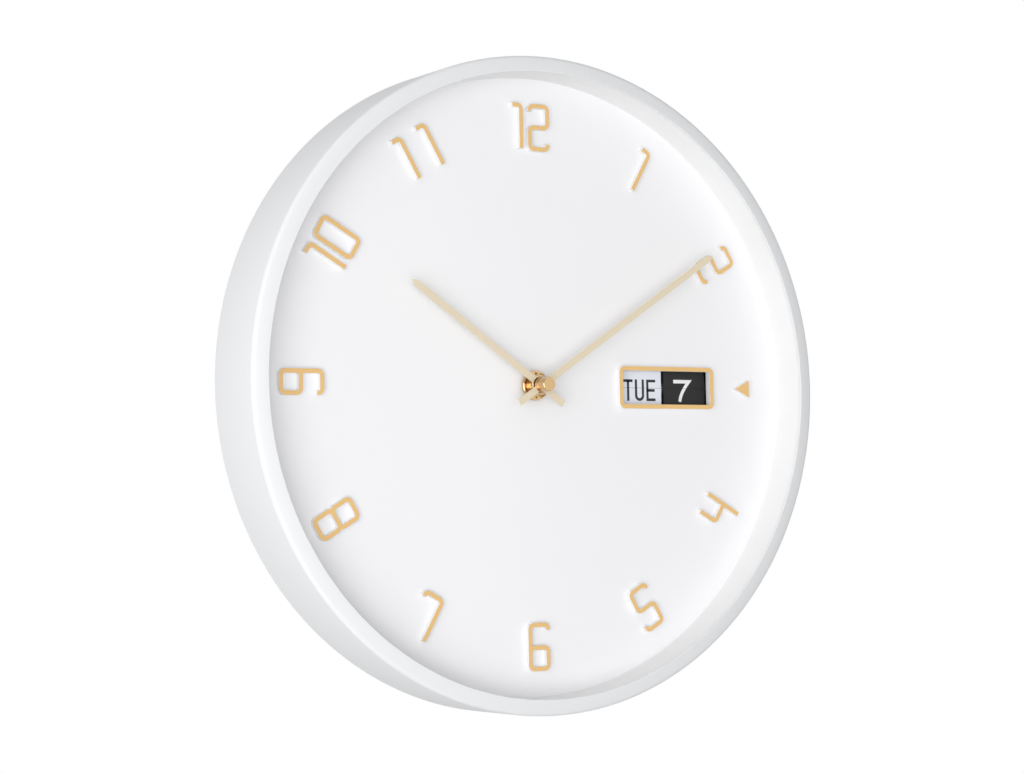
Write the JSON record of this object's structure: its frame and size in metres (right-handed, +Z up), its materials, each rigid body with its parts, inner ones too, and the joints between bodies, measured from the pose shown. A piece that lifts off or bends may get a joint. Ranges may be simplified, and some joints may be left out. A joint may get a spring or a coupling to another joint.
{
  "type": "wall clock with flip calendar",
  "caption": "Round wall clock with a deep white rim, raised gold numerals, bar hands and a framed window of flip cards for weekday and date, driven by a geared quartz movement",
  "frame": {"origin": "on the clock axis, in the plane of the rear rim that rests on the wall", "axes": "+X to three o'clock, +Y into the wall, +Z up to twelve o'clock; the dial faces -Y"},
  "size_m": [0.3, 0.0383, 0.3],
  "materials": {
    "white_enamel": "smooth white enamel on pressed steel",
    "white_moulding": "satin white moulding",
    "gold_face": "white moulding with a gold foil face",
    "champagne_paint": "matt champagne paint",
    "gold_metal": "polished gold-coloured metal",
    "zinc_steel": "zinc plated steel",
    "black_moulding": "black moulding with a fine grain",
    "gear_acetal": "natural acetal",
    "brass_arbor": "turned brass",
    "copper_wire": "enamelled copper wire",
    "green_board": "green circuit board",
    "cell_wrap": "plain dark wrapped dry cell",
    "pale_card": "matt pale film",
    "black_card": "matt black film"
  },
  "bodies": {
    "clock": {"battery": "cell_wrap", "case_clips": "zinc_steel", "case_shell": "white_enamel", "centre_bush": "gold_metal", "circuit_board": "green_board", "clip_screws": "zinc_steel", "coil": "copper_wire", "contact_minus": "zinc_steel", "contact_plus": "zinc_steel", "cover_screws": "zinc_steel", "crystal": "zinc_steel", "dial_plate": "white_moulding", "dial_washer": "gold_metal", "drum_axle": "zinc_steel", "hanger_bracket": "zinc_steel", "lever_spring": "zinc_steel", "mounting_nut": "gold_metal", "movement_housing": "black_moulding", "numeral_1": "gold_face", "numeral_10": "gold_face", "numeral_11": "gold_face", "numeral_12": "gold_face", "numeral_2": "gold_face", "numeral_4": "gold_face", "numeral_5": "gold_face", "numeral_6": "gold_face", "numeral_7": "gold_face", "numeral_8": "gold_face", "numeral_9": "gold_face", "rear_cover": "black_moulding", "spacer_ring": "white_moulding", "stator": "zinc_steel", "three_marker": "gold_face", "train_plate": "black_moulding", "window_frame": "gold_face"},
    "minute_works": {"minute_arbor": "brass_arbor", "minute_hand": "champagne_paint", "hand_nut": "gold_metal"},
    "hour_works": {"hour_wheel": "gear_acetal", "hour_hand": "champagne_paint"},
    "motion_works": {"motion_wheel": "gear_acetal"},
    "setting_works": {"setting_knob": "black_moulding"},
    "day_works": {"day_wheel": "gear_acetal"},
    "centre_works": {"centre_wheel": "gear_acetal"},
    "third_works": {"third_wheel": "gear_acetal"},
    "second_works": {"second_wheel": "gear_acetal"},
    "idler_works": {"idler_wheel": "gear_acetal"},
    "rotor_works": {"rotor": "gear_acetal"},
    "day_drum_works": {"day_drum": "black_card", "day_leaves": "pale_card"},
    "day_flap": {"day_upper_leaf": "pale_card"},
    "date_drum_works": {"date_drum": "black_card", "date_leaves": "black_card"},
    "date_flap": {"date_upper_leaf": "black_card"},
    "lever_works": {"calendar_lever": "zinc_steel"}
  },
  "joints": [
    {"name": "minute_spin", "type": "hinge", "parent": "clock", "child": "minute_works", "pos_m": [0, -0.03, 0], "axis": [0, 1, 0], "continuous": true},
    {"name": "hour_spin", "type": "hinge", "parent": "clock", "child": "hour_works", "pos_m": [0, -0.02, 0], "axis": [0, 1, 0], "continuous": true},
    {"name": "motion_spin", "type": "hinge", "parent": "clock", "child": "motion_works", "pos_m": [0, -0.012, -0.01], "axis": [0, 1, 0], "continuous": true},
    {"name": "setting_spin", "type": "hinge", "parent": "clock", "child": "setting_works", "pos_m": [0.01, -0.012, -0.01], "axis": [0, 1, 0], "continuous": true},
    {"name": "day_wheel_spin", "type": "hinge", "parent": "clock", "child": "day_works", "pos_m": [0.024, -0.012, 0], "axis": [0, 1, 0], "continuous": true},
    {"name": "second_wheel_spin", "type": "hinge", "parent": "clock", "child": "second_works", "pos_m": [-0.01266, -0.012, 0.00484], "axis": [0, 1, 0], "continuous": true},
    {"name": "rotor_spin", "type": "hinge", "parent": "clock", "child": "rotor_works", "pos_m": [-0.01396, -0.012, 0.01449], "axis": [0, 1, 0], "continuous": true},
    {"name": "idler_spin", "type": "hinge", "parent": "clock", "child": "idler_works", "pos_m": [-0.01357, -0.012, 0.01001], "axis": [0, 1, 0], "continuous": true},
    {"name": "third_spin", "type": "hinge", "parent": "clock", "child": "third_works", "pos_m": [-0.00601, -0.012, 0.00601], "axis": [0, 1, 0], "continuous": true},
    {"name": "centre_spin", "type": "hinge", "parent": "clock", "child": "centre_works", "pos_m": [0, -0.012, 0], "axis": [0, 1, 0], "continuous": true},
    {"name": "date_drum_step", "type": "hinge", "parent": "clock", "child": "date_drum_works", "pos_m": [0.0743, -0.01363, 0], "axis": [1, 0, 0], "range_deg": [0, 11.61]},
    {"name": "date_flip", "type": "hinge", "parent": "date_drum_works", "child": "date_flap", "pos_m": [0.0743, -0.0186, 0.00051], "axis": [1, 0, 0], "range_deg": [0, 168.39]},
    {"name": "day_drum_step", "type": "hinge", "parent": "clock", "child": "day_drum_works", "pos_m": [0.0743, -0.01363, 0], "axis": [1, 0, 0], "range_deg": [0, 12.86]},
    {"name": "day_flip", "type": "hinge", "parent": "day_drum_works", "child": "day_flap", "pos_m": [0.0743, -0.01859, 0.00056], "axis": [1, 0, 0], "range_deg": [0, 167.14]},
    {"name": "lever_swing", "type": "hinge", "parent": "clock", "child": "lever_works", "pos_m": [0.037, -0.008, 0.003], "axis": [0, -1, 0], "range_deg": [0, 4.4]}
  ],
  "couplings": [
    {"joint": "hour_spin", "follows": "minute_spin", "ratio": 0.083333},
    {"joint": "motion_spin", "follows": "minute_spin", "ratio": -0.33333},
    {"joint": "setting_spin", "follows": "minute_spin", "ratio": 1},
    {"joint": "day_wheel_spin", "follows": "minute_spin", "ratio": -0.041667},
    {"joint": "rotor_spin", "follows": "second_wheel_spin", "ratio": 30},
    {"joint": "idler_spin", "follows": "second_wheel_spin", "ratio": -6},
    {"joint": "third_spin", "follows": "second_wheel_spin", "ratio": -0.125},
    {"joint": "centre_spin", "follows": "second_wheel_spin", "ratio": 0.016667},
    {"joint": "date_flip", "follows": "date_drum_step", "ratio": 14.5},
    {"joint": "day_drum_step", "follows": "date_drum_step", "ratio": 1.1071},
    {"joint": "day_flip", "follows": "date_drum_step", "ratio": 14.393},
    {"joint": "lever_swing", "follows": "date_drum_step", "ratio": 0.37889}
  ]
}
